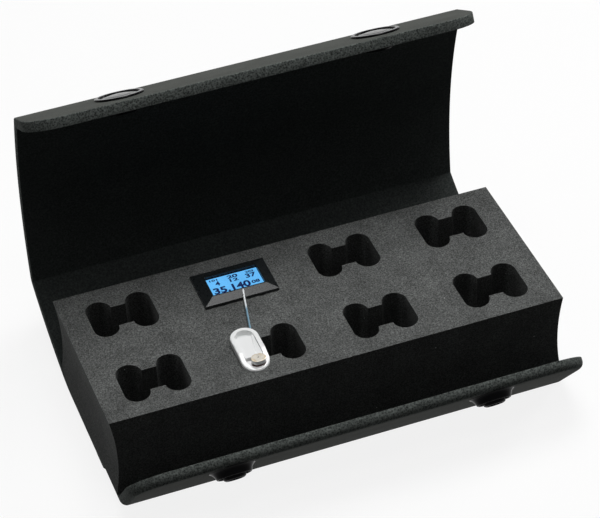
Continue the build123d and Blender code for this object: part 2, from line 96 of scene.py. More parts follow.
# Faces along each bend and rounding of the sheet, and what counts as one place on it
FOLD_STEPS = 8
SOFT_BEND_STEPS = 12
EASE_STEPS = 3
HALF_SPINE_STEPS = 6
HALF_LID_STEPS = 16
CORNER_STEPS = 12
SKIN_ROUNDING_STEPS = 6
OPEN_ROUNDING_STEPS = 2
SHEET_SMOOTH_ANGLE = 35
SEAM_REACH = 0.6 * SHEET_THICKNESS
SAME_SPOT = 0.01 * MM
WELD_DISTANCE = 0.001 * MM

# Material slots of the sheet
SKIN_SIDE, OPEN_SIDE, CUT_RIM = 0, 1, 2

# Seats of the press studs in the sheet, from their axes
STUD_SPREAD = 114 * MM
STUD_BELOW_EDGE = 11.4 * MM
CAP_FROM_FOLD = 13.95 * MM
POST_HOLE = 2.55 * MM
FLANGE_SEAT = 6.6 * MM
FLANGE_DEPTH = 0.8 * MM
BARREL_HOLE = 2.25 * MM
SOCKET_SEAT = 6.45 * MM
SOCKET_DEPTH = 1.8 * MM
SEAT_SIDES = 48

# Press stud in radii and heights above the wall, in mm: its skirt swells to a guard ring round
# the snap head, and the socket drops between the two
STUD_PROFILE = (
    (9.8, 0), (9.75, 0.12), (9.4, 0.3), (8.9, 0.65), (8.4, 1.15), (8.0, 1.8), (7.75, 2.45),
    (7.55, 3.0), (7.3, 3.35), (7.05, 3.45), (6.8, 3.4), (6.7, 3.2), (6.6, 1.05), (4.5, 1.0),
    (4.5, 2.6), (4.95, 3.1), (4.95, 3.6), (4.6, 4.3), (4.0, 4.7), (3.5, 4.7), (3.4, 4.55),
    (3.4, 3.8), (2.55, 3.8), (2.55, 0),
)
STUD_SIDES = 64
STUD_SMOOTH_ANGLE = 40

# Display glass, drawn a little thinner so that its digits fit below the window
LCD_DROP = 0.06 * MM
LCD_EDGE_ROUNDING = 0.15 * MM
LCD_BORDER_BEYOND_WINDOW = 0.25 * MM
LCD_LEAST_TOP = 1e-5              # square metres, more than a rounding of the glass has
DIGIT_BOLDNESS = 0.035            # in font heights, as is the relief
DIGIT_RELIEF = 0.002
DIGIT_RELIEF_SCALE = 5 * MM
DIGIT_LIFT = 0.01 * MM

# Plain numbers on the display, in mm: text, right and up from its middle, width, height
LCD_NUMBERS = (
    ("101", -8.3, 4.2, 3.6, 1.3),
    ("4", -7.2, 1.7, 2.0, 2.8),
    ("20", 0.1, 3.9, 4.6, 2.1),
    ("12", 0.1, 1.5, 3.8, 1.9),
    ("203", 7.9, 4.2, 3.6, 1.3),
    ("37", 7.7, 1.7, 4.6, 2.8),
    ("35.140", -2.2, -2.9, 16.4, 4.1),
    ("08", 8.4, -2.9, 3.6, 2.0),
)

# Foam
MM_PER_METRE = 1000
FINE_NOISE_SCALE = 0.8            # against the scale of the cells
FINE_NOISE_SHARE = 0.55           # of the speckle
FOAM_RELIEF = 0.6
BLOTCH_MM = 14.0
BLOTCH_CONTRAST = (0.3, 0.7)
# Painted shade on the block's faces to the front: full at the first normal, gone at the second
FRONT_NORMAL_Y = (-0.9, -0.6)     # wholly front and no longer front
DUST = "#c4c6c4"
DUST_SPACING_MM = 3.0
DUST_SIZE_MM = 0.2

# Clouds in the gloss of plastic (1.1 mm) and metal (1.4 mm), pale patches in metal (3.8 mm)
# and clouds in the display's glow (9 mm), all per metre. A spread is in shares of the plain value.
PLASTIC_CLOUDS = 900.0
PLASTIC_SPREAD = (0.8, 1.25)
METAL_CLOUDS = 700.0
METAL_SPREAD = (0.7, 1.4)
PALE_PATCHES = 260.0
PALE_PATCH_CONTRAST = (0.42, 0.6)
GLOW_CLOUDS = 110.0
GLOW_SPREAD = (0.85, 1.15)
MOULD_GRAIN_RELIEF = 0.5
# Painted reflection on the wire: it turns from steel blue to white over these shares
WIRE_PAINTED_GLINT_FADE = (0.5, 0.6)      # shares of the wire's run, from the crystal
PANE_ALPHA = 0.12
PANE_TINT = "#0a1420"
LCD_UNLIT = "#1b3c66"

# Stage
FLOOR_SIZE = 8
FLOOR_PAPER = "#fbfbfb"
FLOOR_WHITE = 0.86                # share of the floor's shown colour that no shadow darkens
FLOOR_BOUNCE = "#4a4a4a"
AMBIENT = 0.05
LAMPS_LOOK_AT = Vector((0, 0, 0.04))

# Soft lamps: place, width, depth and watts
LAMPS = {
    "key_above": ((0.15, 0.2, 1.2), 0.5, 0.8, 10),
    "fill_front": ((0, -0.5, 1.3), 0.4, 0.3, 2),
    "fill_left": ((-1.3, 0.3, 0.45), 0.5, 0.5, 1.2),
    "fill_right": ((1.6, 0.45, 0.8), 0.5, 0.4, 9),
}


# Colour and node helpers

def linear(hex_colour):
    """Linear RGBA of an sRGB hex colour."""
    channels = [int(hex_colour[i:i + 2], 16) / 255 for i in (1, 3, 5)]
    return [c / 12.92 if c <= 0.04045 else ((c + 0.055) / 1.055) ** 2.4 for c in channels] + [1.0]


def add(tree, kind, links=None, **settings):
    """Adds a node, sets its sockets and properties by name and links its inputs."""
    node = tree.nodes.new(kind)
    for key, value in settings.items():
        if hasattr(node, key):
            setattr(node, key, value)
        else:
            node.inputs[key.replace("_", " ")].default_value = value
    for socket, source in (links or {}).items():
        tree.links.new(source, node.inputs[socket])
    return node


def new_material(name):
    """A material with only its output node."""
    material = bpy.data.materials.new(name)
    material.use_nodes = True
    tree = material.node_tree
    tree.nodes.clear()
    return material, tree, tree.nodes.new("ShaderNodeOutputMaterial")


def finish_material(tree, output, shader):
    """Links the shader that a material ends in."""
    tree.links.new(shader.outputs[0], output.inputs["Surface"])


# Materials

def dusted(tree, place, colour, dust):
    """A colour with specks of dust, in the share of all grid cells that dust gives."""
    grains = add(tree, "ShaderNodeTexVoronoi", {"Vector": place},
                 Scale=MM_PER_METRE / DUST_SPACING_MM)
    small = add(tree, "ShaderNodeMath", {0: grains.outputs["Distance"]}, operation="LESS_THAN")
    small.inputs[1].default_value = DUST_SIZE_MM / DUST_SPACING_MM
    chance = add(tree, "ShaderNodeSeparateColor", {"Color": grains.outputs["Color"]})
    chosen = add(tree, "ShaderNodeMath", {0: chance.outputs[0]}, operation="LESS_THAN")
    chosen.inputs[1].default_value = dust
    speck = add(tree, "ShaderNodeMath", {0: small.outputs[0], 1: chosen.outputs[0]},
                operation="MULTIPLY")
    mix = add(tree, "ShaderNodeMix", {"Factor": speck.outputs[0], 6: colour}, data_type="RGBA")
    mix.inputs[7].default_value = linear(DUST)
    return mix.outputs[2]


def foam(name, dark, light, cell_mm, cell_depth_mm, blotch, roughness=0.9,
         contrast=(0.25, 0.75), sheen=0.1, dust=0.0, front_shade_share=1.0):
    """Closed-cell foam: a speckle of cells that catch the light, blotches and specks of dust.
    Faces to the front can be darker: painted shade, for the little light that reaches them."""
    material, tree, output = new_material(name)
    place = add(tree, "ShaderNodeTexCoord").outputs["Object"]
    per_metre = MM_PER_METRE / cell_mm
    cells = add(tree, "ShaderNodeTexVoronoi", {"Vector": place}, Scale=per_metre, Randomness=1.0)
    fine = add(tree, "ShaderNodeTexNoise", {"Vector": place}, Scale=per_metre * FINE_NOISE_SCALE,
               Detail=3.0)
    speckle = add(tree, "ShaderNodeMix", {"A": cells.outputs["Distance"], "B": fine.outputs["Fac"]},
                  data_type="FLOAT", Factor=FINE_NOISE_SHARE)
    spread = add(tree, "ShaderNodeMapRange", {"Value": speckle.outputs[0]},
                 From_Min=contrast[0], From_Max=contrast[1])
    broad = add(tree, "ShaderNodeTexNoise", {"Vector": place}, Scale=MM_PER_METRE / BLOTCH_MM,
                Detail=4.0, Roughness=0.6)
    shade = add(tree, "ShaderNodeMapRange", {"Value": broad.outputs["Fac"]},
                From_Min=BLOTCH_CONTRAST[0], From_Max=BLOTCH_CONTRAST[1],
                To_Min=1 - blotch, To_Max=1 + blotch)
    colour = add(tree, "ShaderNodeMix", {"Factor": spread.outputs[0]}, data_type="RGBA")
    colour.inputs[6].default_value = linear(dark)
    colour.inputs[7].default_value = linear(light)
    toned = add(tree, "ShaderNodeVectorMath", {0: colour.outputs[2], "Scale": shade.outputs[0]},
                operation="SCALE")
    finished = toned.outputs[0]
    # Painted shade: faces to the front are darkened in colour, for the little light they get
    if front_shade_share < 1:
        facing = add(tree, "ShaderNodeSeparateXYZ",
                     {"Vector": add(tree, "ShaderNodeTexCoord").outputs["Normal"]})
        painted_front_shade = add(tree, "ShaderNodeMapRange", {"Value": facing.outputs["Y"]},
                      From_Min=FRONT_NORMAL_Y[0], From_Max=FRONT_NORMAL_Y[1],
                      To_Min=front_shade_share, To_Max=1.0)
        darker = add(tree, "ShaderNodeVectorMath", {0: finished, "Scale": painted_front_shade.outputs[0]},
                     operation="SCALE")
        finished = darker.outputs[0]
    if dust:
        finished = dusted(tree, place, finished, dust)
    relief = add(tree, "ShaderNodeBump", {"Height": speckle.outputs[0]}, Strength=FOAM_RELIEF,
                 Distance=cell_depth_mm * MM)
    surface = add(tree, "ShaderNodeBsdfPrincipled",
                  {"Base Color": finished, "Normal": relief.outputs[0]}, Roughness=roughness)
    surface.inputs["Specular IOR Level"].default_value = sheen
    finish_material(tree, output, surface)
    return material


def plastic(name, colour, roughness, grain_mm=0.0, grain_depth_mm=0.0, sheen=0.5):
    """Moulded plastic, plain or with a fine mould grain."""
    material, tree, output = new_material(name)
    place = add(tree, "ShaderNodeTexCoord").outputs["Object"]
    wear = add(tree, "ShaderNodeTexNoise", {"Vector": place}, Scale=PLASTIC_CLOUDS, Detail=3.0)
    gloss = add(tree, "ShaderNodeMapRange", {"Value": wear.outputs["Fac"]},
                To_Min=roughness * PLASTIC_SPREAD[0], To_Max=roughness * PLASTIC_SPREAD[1])
    surface = add(tree, "ShaderNodeBsdfPrincipled", {"Roughness": gloss.outputs[0]})
    surface.inputs["Base Color"].default_value = linear(colour)
    surface.inputs["Specular IOR Level"].default_value = sheen
    if grain_mm:
        grain = add(tree, "ShaderNodeTexNoise", {"Vector": place}, Scale=MM_PER_METRE / grain_mm)
        relief = add(tree, "ShaderNodeBump", {"Height": grain.outputs["Fac"]},
                     Strength=MOULD_GRAIN_RELIEF, Distance=grain_depth_mm * MM)
        tree.links.new(relief.outputs[0], surface.inputs["Normal"])
    finish_material(tree, output, surface)
    return material


def metal(name, colour, roughness, pale_colour=None):
    """Bright metal with a faint cloudiness in its polish, paler in random patches."""
    material, tree, output = new_material(name)
    place = add(tree, "ShaderNodeTexCoord").outputs["Object"]
    wear = add(tree, "ShaderNodeTexNoise", {"Vector": place}, Scale=METAL_CLOUDS, Detail=3.0)
    gloss = add(tree, "ShaderNodeMapRange", {"Value": wear.outputs["Fac"]},
                To_Min=roughness * METAL_SPREAD[0], To_Max=roughness * METAL_SPREAD[1])
    surface = add(tree, "ShaderNodeBsdfPrincipled", {"Roughness": gloss.outputs[0]}, Metallic=1.0)
    surface.inputs["Base Color"].default_value = linear(colour)
    if pale_colour:
        patch = add(tree, "ShaderNodeTexNoise", {"Vector": place}, Scale=PALE_PATCHES, Detail=2.0)
        pale_share = add(tree, "ShaderNodeMapRange", {"Value": patch.outputs["Fac"]},
                   From_Min=PALE_PATCH_CONTRAST[0], From_Max=PALE_PATCH_CONTRAST[1])
        blend = add(tree, "ShaderNodeMix", {"Factor": pale_share.outputs[0]}, data_type="RGBA")
        blend.inputs[6].default_value = linear(colour)
        blend.inputs[7].default_value = linear(pale_colour)
        tree.links.new(blend.outputs[2], surface.inputs["Base Color"])
    finish_material(tree, output, surface)
    return material


def lacquered_wire(name, near, far, roughness):
    """Steel-blue wire with a painted reflection: white where it leaves the display, bluer further
    along.
    """
    material, tree, output = new_material(name)
    place = add(tree, "ShaderNodeTexCoord").outputs["Object"]
    along = add(tree, "ShaderNodeSeparateXYZ", {"Vector": place})
    low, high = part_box("contact_wire")
    start, end = (low.y + share * (high.y - low.y) for share in WIRE_PAINTED_GLINT_FADE)
    span = add(tree, "ShaderNodeMapRange", {"Value": along.outputs["Y"]},
               From_Min=start, From_Max=end)
    # Painted reflection: the white near the display stands in for bright light mirrored in the wire
    colour = add(tree, "ShaderNodeMix", {"Factor": span.outputs[0]}, data_type="RGBA")
    colour.inputs[6].default_value = linear(far)
    colour.inputs[7].default_value = linear(near)
    surface = add(tree, "ShaderNodeBsdfPrincipled", {"Base Color": colour.outputs[2]},
                  Roughness=roughness)
    finish_material(tree, output, surface)
    return material


def clear_sheet(name):
    """A thin clear pane: it lets nearly all through and keeps its own gloss."""
    material, tree, output = new_material(name)
    surface = add(tree, "ShaderNodeBsdfPrincipled", Roughness=0.02, IOR=1.49, Alpha=PANE_ALPHA)
    surface.inputs["Base Color"].default_value = linear(PANE_TINT)
    finish_material(tree, output, surface)
    return material


def lit_panel(name, colour, strength):
    """Liquid-crystal glass lit from behind, with faint clouds in its glow."""
    material, tree, output = new_material(name)
    place = add(tree, "ShaderNodeTexCoord").outputs["Object"]
    cloud = add(tree, "ShaderNodeTexNoise", {"Vector": place}, Scale=GLOW_CLOUDS, Detail=1.0)
    glow = add(tree, "ShaderNodeMapRange", {"Value": cloud.outputs["Fac"]},
               To_Min=strength * GLOW_SPREAD[0], To_Max=strength * GLOW_SPREAD[1])
    surface = add(tree, "ShaderNodeBsdfPrincipled", {"Emission Strength": glow.outputs[0]},
                  Roughness=0.2)
    surface.inputs["Base Color"].default_value = linear(LCD_UNLIT)
    surface.inputs["Emission Color"].default_value = linear(colour)
    finish_material(tree, output, surface)
    return material


# Outer skin of the closed-cell sheet: a smooth charcoal that greys softly towards the light
SKIN_FOAM = foam("polyethylene_foam_skin", "#3d3f3c", "#4f514e", 0.5, 0.03, blotch=0.12,
                 roughness=0.75, sheen=0.05)
# Inner side of the sheet: fine cells that keep the inside deep black
OPEN_FOAM = foam("polyethylene_foam_inner_side", "#272a29", "#434746", 0.8, 0.08, blotch=0.1,
                 sheen=0.05)
# Cut edge of the sheet: coarse opened cells that sparkle grey along the rims
CUT_FOAM = foam("polyethylene_foam_cut_edge", "#1b1e1d", "#686d6a", 0.75, 0.2, blotch=0.12,
                contrast=(0.28, 0.72), dust=0.02)
# Die-cut block: an even grey speckle on top with stray lint, and painted shade on the faces to the
# front
BLOCK_FOAM = foam("polyethylene_foam_block", "#222221", "#6f7170", 0.55, 0.12, blotch=0.2,
                  dust=0.03, front_shade_share=0.45)
# Moulded nylon: the caps take a crisp small highlight, the studs hardly any
CAP_BLACK = plastic("black_nylon_polished", "#0a0b0c", 0.12, sheen=0.08)
STUD_BLACK = plastic("black_nylon_moulded", "#08080a", 0.22, sheen=0.025)
# Display housing: satin with a fine moulded grain, so its sloped front turns mid grey
BEZEL_BLACK = plastic("black_abs_satin", "#141718", 0.28, 0.25, 0.001)
# Crystal's holder, tag and band: clean bright white with soft shading inside
WHITE_GLOSS = plastic("white_acetal_gloss", "#f4f5f5", 0.15)
# Can: a dark red-brown, painted shade for the gap under the crystal's cap, with the brass's reddish
# reflection painted in
GAP_SHADE_BROWN = plastic("brown_phenolic", "#4a1c14", 0.25)
# Cap and pins: tan lacquer, paler in random patches
BRASS = metal("brass_lacquered", "#d8bd8c", 0.3, "#f2ece0")
# Cell, clip and ring springs: plain bright metal
STEEL = metal("steel_wire_drawn", "#c4ccd2", 0.22)
# Contact wire: a painted white reflection where it meets the display, turning steel blue towards
# the crystal
WIRE = lacquered_wire("lacquered_wire", "#f4f8fa", "#7da0b4", 0.3)
# Circuit board, inside the display's case: solder mask green
BOARD_GREEN = plastic("solder_mask_green", "#1c4a2c", 0.35)
# Pane over the display: a dark glassy rim line and a faint mirror
CLEAR = clear_sheet("acrylic_clear")
# Display glass: an even sky blue that glows by itself, in a navy frame with navy figures
LCD_LIT = lit_panel("lcd_glass_lit", "#68bcf8", 1.22)
LCD_BORDER = plastic("lcd_glass_border", "#101d3a", 0.25)
LCD_INK = plastic("lcd_glass_segments", "#102a70", 0.4)
# Light guide behind the glass: frosted pale blue
LIGHT_GUIDE = plastic("acrylic_frosted", "#9fc4e6", 0.3)
SHEET_MATERIALS = (SKIN_FOAM, OPEN_FOAM, CUT_FOAM)


# Modelling helpers

def dress(node, material):
    """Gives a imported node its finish."""
    mesh = NODES[node].data
    mesh.materials.clear()
    mesh.materials.append(material)


def active(name):
    """The object just added, renamed with its mesh."""
    obj = bpy.context.object
    obj.name = name
    obj.data.name = name
    return obj


def settle(obj):
    """Puts the place of a finished piece in its mesh and deselects all."""
    bpy.ops.object.select_all(action="DESELECT")
    obj.select_set(True)
    bpy.context.view_layer.objects.active = obj
    bpy.ops.object.transform_apply(location=True, rotation=True, scale=True)
    bpy.ops.object.select_all(action="DESELECT")
    return obj


def select_where(obj, kind, test):
    """Selects the vertices or faces of a mesh in edit mode that pass a test."""
    modes = {"vertices": "VERT", "polygons": "FACE"}
    bpy.ops.mesh.select_mode(type=modes[kind])
    bpy.ops.mesh.select_all(action="DESELECT")
    bpy.ops.object.mode_set(mode="OBJECT")
    for item in getattr(obj.data, kind):
        item.select = test(item)
    bpy.ops.object.mode_set(mode="EDIT")


def heading_of(start, end):
    """Heading from one point of the section to another."""
    return degrees(atan2(end.z - start.z, end.y - start.y))


def heading_vector(heading):
    """Unit vector in the section along a heading."""
    return Vector((0, cos(radians(heading)), sin(radians(heading))))


def bow_turn(chord, bow):
    """Degrees that a bowed strip turns from end to end, and its radius."""
    radius = chord ** 2 / (8 * bow) + bow / 2
    return 2 * degrees(atan2(chord / 2, radius - bow)), radius


def setback(turn):
    """Length of straight sheet that a fold takes up on either side of its axis."""
    return FOLD_RADIUS * tan(radians(abs(turn)) / 2)


# Folded sheet

class SheetStrip:
    """A strip of the folded sheet, drawn at mid-thickness by runs and bends along its section."""

    def __init__(self, name, start, heading):
        bpy.ops.mesh.primitive_plane_add(size=SHEET_LENGTH, location=(0, 0, 0))
        self.obj = active(name)
        self.spot = start.copy()
        self.heading = heading
        bpy.ops.object.mode_set(mode="EDIT")
        select_where(self.obj, "vertices", lambda v: v.co.y > 0)
        bpy.ops.mesh.delete(type="VERT")
        bpy.ops.mesh.select_all(action="SELECT")
        bpy.ops.transform.translate(value=(0, SHEET_LENGTH / 2 + start.y, start.z))

    def along(self):
        """Direction in which the strip goes on."""
        return heading_vector(self.heading)

    def run(self, length):
        """A flat stretch."""
        move = self.along() * length
        bpy.ops.mesh.extrude_edges_move(TRANSFORM_OT_translate={"value": move})
        self.spot += move

    def bend(self, radius, turn, steps):
        """A round stretch, to the left for a positive turn."""
        side = 1 if turn > 0 else -1
        towards = Matrix.Rotation(radians(90 * side), 3, "X") @ self.along()
        centre = self.spot + towards * radius
        bpy.ops.mesh.spin(steps=steps, angle=-radians(turn), center=centre, axis=(1, 0, 0))
        self.spot = centre + Matrix.Rotation(radians(turn), 3, "X") @ (self.spot - centre)
        self.heading += turn

    def round_free_corners(self):
        """Rounds the two corners where the strip ends."""
        spot = self.spot
        select_where(self.obj, "vertices", lambda v: (v.co.yz - spot.yz).length < SAME_SPOT)
        bpy.ops.mesh.bevel(affect="VERTICES", offset=FREE_CORNER, segments=CORNER_STEPS)

    def spread(self, fold):
        """Widens the strip evenly from a fold to its free edge."""
        reach = (self.spot - fold).length
        bpy.ops.object.mode_set(mode="OBJECT")
        for vertex in self.obj.data.vertices:
            beyond = (vertex.co - Vector((vertex.co.x, fold.y, fold.z))).dot(self.along()) / reach
            vertex.co.x *= 1 + FREE_EDGE_SPREAD * min(max(beyond, 0), 1)
        bpy.ops.object.mode_set(mode="EDIT")

    def thicken(self, skin_side, seams, skin_rounding=lambda spot: SKIN_EDGE_ROUNDING):
        """Gives the strip its thickness, with its skin on the left or right of its run."""
        mesh = self.obj.data
        bpy.ops.mesh.select_all(action="SELECT")
        bpy.ops.mesh.remove_doubles(threshold=WELD_DISTANCE)
        bpy.ops.mesh.normals_make_consistent(inside=False)
        bpy.ops.object.mode_set(mode="OBJECT")
        end_face = min(mesh.polygons, key=lambda p: (p.center - self.spot).length)
        skin_normal = Matrix.Rotation(radians(90 * skin_side), 3, "X") @ self.along()
        if end_face.normal.dot(skin_normal) < 0:
            mesh.flip_normals()
        for material in SHEET_MATERIALS:
            mesh.materials.append(material)
        solid = self.obj.modifiers.new("thickness", "SOLIDIFY")
        solid.thickness = SHEET_THICKNESS
        solid.offset = 0
        solid.use_even_offset = True
        solid.material_offset = OPEN_SIDE
        solid.material_offset_rim = CUT_RIM
        bpy.ops.object.modifier_apply(modifier="thickness")
        self.round_edges(SKIN_SIDE, seams, skin_rounding, SKIN_ROUNDING_STEPS)
        self.round_edges(OPEN_SIDE, seams, lambda spot: OPEN_EDGE_ROUNDING, OPEN_ROUNDING_STEPS)
        bpy.ops.object.shade_smooth_by_angle(angle=radians(SHEET_SMOOTH_ANGLE))
        return settle(self.obj)

    def round_edges(self, side, seams, rounding_at, segments):
        """Rounds the edges between one side and the cut rim, except where strips join. Edges
        that meet have the same rounding or none, since unlike ones throw spikes."""
        mesh = self.obj.data
        sides = {}
        for face in mesh.polygons:
            for key in face.edge_keys:
                sides.setdefault(key, set()).add(face.material_index)

        def at_seam(ends):
            return any(all((end.yz - seam.yz).length < SEAM_REACH for end in ends)
                       for seam in seams)

        weights = mesh.attributes.get("bevel_weight_edge") or mesh.attributes.new(
            "bevel_weight_edge", "FLOAT", "EDGE")
        for edge in mesh.edges:
            ends = [mesh.vertices[i].co for i in edge.vertices]
            on_rim = sides[edge.key] == {side, CUT_RIM} and not at_seam(ends)
            rounding = rounding_at((ends[0] + ends[1]) / 2) if on_rim else 0
            weights.data[edge.index].value = rounding / SHEET_THICKNESS
        bevel = self.obj.modifiers.new("rounding", "BEVEL")
        bevel.limit_method = "WEIGHT"
        bevel.width = SHEET_THICKNESS
        bevel.segments = segments
        bevel.material = CUT_RIM
        bevel.use_clamp_overlap = False
        bpy.ops.object.modifier_apply(modifier="rounding")


def cut_away(sheet, place, turn, radius, depth):
    """Cuts a round hole or recess with cut foam on its wall."""
    bpy.ops.mesh.primitive_cylinder_add(vertices=SEAT_SIDES, radius=radius, depth=depth,
                                        location=place, rotation=turn)
    cutter = settle(active("cutter"))
    for material in SHEET_MATERIALS:
        cutter.data.materials.append(material)
    for face in cutter.data.polygons:
        face.material_index = CUT_RIM
    bpy.context.view_layer.objects.active = sheet
    cut = sheet.modifiers.new("cut", "BOOLEAN")
    cut.operation = "DIFFERENCE"
    cut.solver = "EXACT"
    cut.object = cutter
    bpy.ops.object.modifier_apply(modifier="cut")
    bpy.data.objects.remove(cutter)


def cut_stud_seats(sheet, fold, heading, from_fold, skin_side, hole, seat, seat_depth):
    """Cuts the two stepped holes that a panel's studs or caps sit in, deep side inwards."""
    normal = heading_vector(heading + 90 * skin_side)
    spot = fold + heading_vector(heading) * from_fold
    turn = normal.to_track_quat("Z", "Y").to_euler()
    seat_floor = SHEET_THICKNESS / 2 - seat_depth
    for side in (-1, 1):
        place = Vector((side * STUD_SPREAD / 2, spot.y, spot.z))
        cut_away(sheet, place, turn, hole, 2 * SHEET_THICKNESS)
        cut_away(sheet, place - normal * (seat_floor + SHEET_THICKNESS / 2), turn, seat,
                 SHEET_THICKNESS)
    bpy.ops.object.select_all(action="DESELECT")


def bend_at(piece):
    """Puts a strip's place into its mesh."""
    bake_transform(piece)


def build_sheet():
    """The sheet in four strips that join in the middle of its panels, each bent at one fold."""
    front = FOLDS["front_wall_fold"]
    back = FOLDS["spine_fold"]
    top = FOLDS["lid_fold"]
    flap = FOLDS["flap_fold"]
    seam = Vector((0, BASE_SEAM, SHEET_THICKNESS / 2))
    spine_turn, spine_radius = bow_turn((top - back).length, SPINE_BOW)
    lid_turn, lid_radius = bow_turn((flap - top).length, LID_BOW)
    spine_start = heading_of(back, top) - spine_turn / 2
    lid_start = heading_of(top, flap) - lid_turn / 2

    wall_turn = WALL_HEADING - BASE_HEADING
    strip = SheetStrip("foam_sheet_front", seam, BASE_HEADING)
    strip.run(PLAIN_BASE_EDGE)
    strip.run(seam.y - front.y - setback(wall_turn) - PLAIN_BASE_EDGE)
    strip.bend(FOLD_RADIUS, wall_turn, FOLD_STEPS)
    strip.run(WALL_HEIGHT - setback(wall_turn))
    strip.round_free_corners()
    strip.spread(front)

    def wall_rounding(spot):
        return WALL_EDGE_ROUNDING if spot.y < seam.y - PLAIN_BASE_EDGE else 0

    front_sheet = strip.thicken(1, [seam], wall_rounding)
    cut_stud_seats(front_sheet, front, WALL_HEADING, WALL_HEIGHT - STUD_BELOW_EDGE, 1,
                   POST_HOLE, FLANGE_SEAT, FLANGE_DEPTH)

    strip = SheetStrip("foam_sheet_back", seam, 0.0)
    flat_end = back.y - SOFT_BEND_RADIUS * sin(radians(SOFT_BEND_TURN))
    ease = (SOFT_BEND_TURN - spine_start) / (1 + EASE_RADIUS / spine_radius)
    strip.run(flat_end - seam.y)
    strip.bend(SOFT_BEND_RADIUS, SOFT_BEND_TURN, SOFT_BEND_STEPS)
    strip.bend(EASE_RADIUS, -ease, EASE_STEPS)
    strip.bend(spine_radius, heading_of(back, top) - strip.heading, HALF_SPINE_STEPS)
    middle_spine, heading = strip.spot.copy(), strip.heading
    back_sheet = strip.thicken(-1, [seam, middle_spine])

    top_turn = lid_start - heading - spine_turn / 2
    in_spine = degrees(setback(top_turn) / spine_radius)
    in_lid = degrees(setback(top_turn) / lid_radius)
    strip = SheetStrip("foam_sheet_top", middle_spine, heading)
    strip.bend(spine_radius, spine_turn / 2 - in_spine, HALF_SPINE_STEPS)
    strip.bend(FOLD_RADIUS, top_turn + in_spine + in_lid, FOLD_STEPS)
    strip.bend(lid_radius, lid_turn / 2 - in_lid, HALF_LID_STEPS)
    middle_lid, heading = strip.spot.copy(), strip.heading
    top_sheet = strip.thicken(-1, [middle_spine, middle_lid])

    flap_turn = FLAP_HEADING - heading - lid_turn / 2
    in_lid = degrees(setback(flap_turn) / lid_radius)
    strip = SheetStrip("foam_sheet_flap", middle_lid, heading)
    strip.bend(lid_radius, lid_turn / 2 - in_lid, HALF_LID_STEPS)
    strip.bend(FOLD_RADIUS, flap_turn + in_lid, FOLD_STEPS)
    strip.run(FLAP_HEIGHT - setback(flap_turn))
    flap_end = strip.spot.copy()
    strip.round_free_corners()
    strip.spread(flap)
    flap_sheet = strip.thicken(-1, [middle_lid])
    cut_stud_seats(flap_sheet, flap_end, FLAP_HEADING, CAP_FROM_FOLD - FLAP_HEIGHT, -1,
                   BARREL_HOLE, SOCKET_SEAT, SOCKET_DEPTH)

    bend_at(front_sheet)
    bend_at(back_sheet)
    bend_at(top_sheet)
    bend_at(flap_sheet)
    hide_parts("front_wall", "base_panel")
    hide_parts("spine_panel")
    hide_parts("lid_panel")
    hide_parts("lid_flap")


# Press studs

def turned_piece(name, profile):
    """A closed round piece about Z, drawn ring by ring from a profile."""
    bpy.ops.mesh.primitive_circle_add(vertices=STUD_SIDES, radius=profile[0][0] * MM,
                                      location=(0, 0, 0))
    obj = active(name)
    bpy.ops.object.mode_set(mode="EDIT")
    bpy.ops.mesh.select_all(action="SELECT")
    for (radius, height), (next_radius, next_height) in zip(profile, profile[1:]):
        rise = (0, 0, (next_height - height) * MM)
        bpy.ops.mesh.extrude_edges_move(TRANSFORM_OT_translate={"value": rise})
        bpy.ops.transform.resize(value=(next_radius / radius, next_radius / radius, 1))
    bpy.ops.mesh.select_all(action="DESELECT")
    bpy.ops.mesh.select_mode(type="EDGE")
    bpy.ops.mesh.select_non_manifold()
    bpy.ops.mesh.bridge_edge_loops()
    bpy.ops.mesh.select_all(action="SELECT")
    bpy.ops.mesh.normals_make_consistent(inside=False)
    bpy.ops.object.mode_set(mode="OBJECT")
    bpy.ops.object.shade_smooth_by_angle(angle=radians(STUD_SMOOTH_ANGLE))
    return obj


def build_studs():
    """The two studs on the wall's outer face."""
    normal = heading_vector(WALL_HEADING + 90)
    up_wall = heading_vector(WALL_HEADING) * (WALL_HEIGHT - STUD_BELOW_EDGE)
    spot = FOLDS["front_wall_fold"] + up_wall + normal * SHEET_THICKNESS / 2
    for side, name in ((-1, "left"), (1, "right")):
        stud = turned_piece(name + "_press_stud", STUD_PROFILE)
        stud.data.materials.append(STUD_BLACK)
        stud.rotation_euler = normal.to_track_quat("Z", "Y").to_euler()
        stud.location = (side * STUD_SPREAD / 2, spot.y, spot.z)
        settle(stud)
        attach(stud, "front_wall")
        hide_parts(name + "_stud")


# Display

def build_glass():
    """Glass panel: a dark border round the lit area."""
    low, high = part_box("display_lcd")
    window_low, window_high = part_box("display_window")
    centre = (low + high) / 2
    size = high - low
    bpy.ops.mesh.primitive_cube_add(size=1, location=centre - Vector((0, 0, LCD_DROP / 2)))
    glass = active("lcd_glass")
    glass.scale = (size.x, size.y, size.z - LCD_DROP)
    settle(glass)
    for material in (LCD_BORDER, LCD_LIT):
        glass.data.materials.append(material)
    bpy.context.view_layer.objects.active = glass
    bpy.ops.object.mode_set(mode="EDIT")
    bpy.ops.mesh.select_all(action="SELECT")
    bpy.ops.mesh.bevel(offset=LCD_EDGE_ROUNDING, segments=2)
    select_where(glass, "polygons", lambda p: p.normal.z > 0.99 and p.area > LCD_LEAST_TOP)
    hidden_border = (size.y - (window_high - window_low).y) / 2
    bpy.ops.mesh.inset(thickness=hidden_border + LCD_BORDER_BEYOND_WINDOW)
    glass.active_material_index = 1
    bpy.ops.object.material_slot_assign()
    bpy.ops.object.mode_set(mode="OBJECT")
    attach(glass, "display")
    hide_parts("display_lcd")


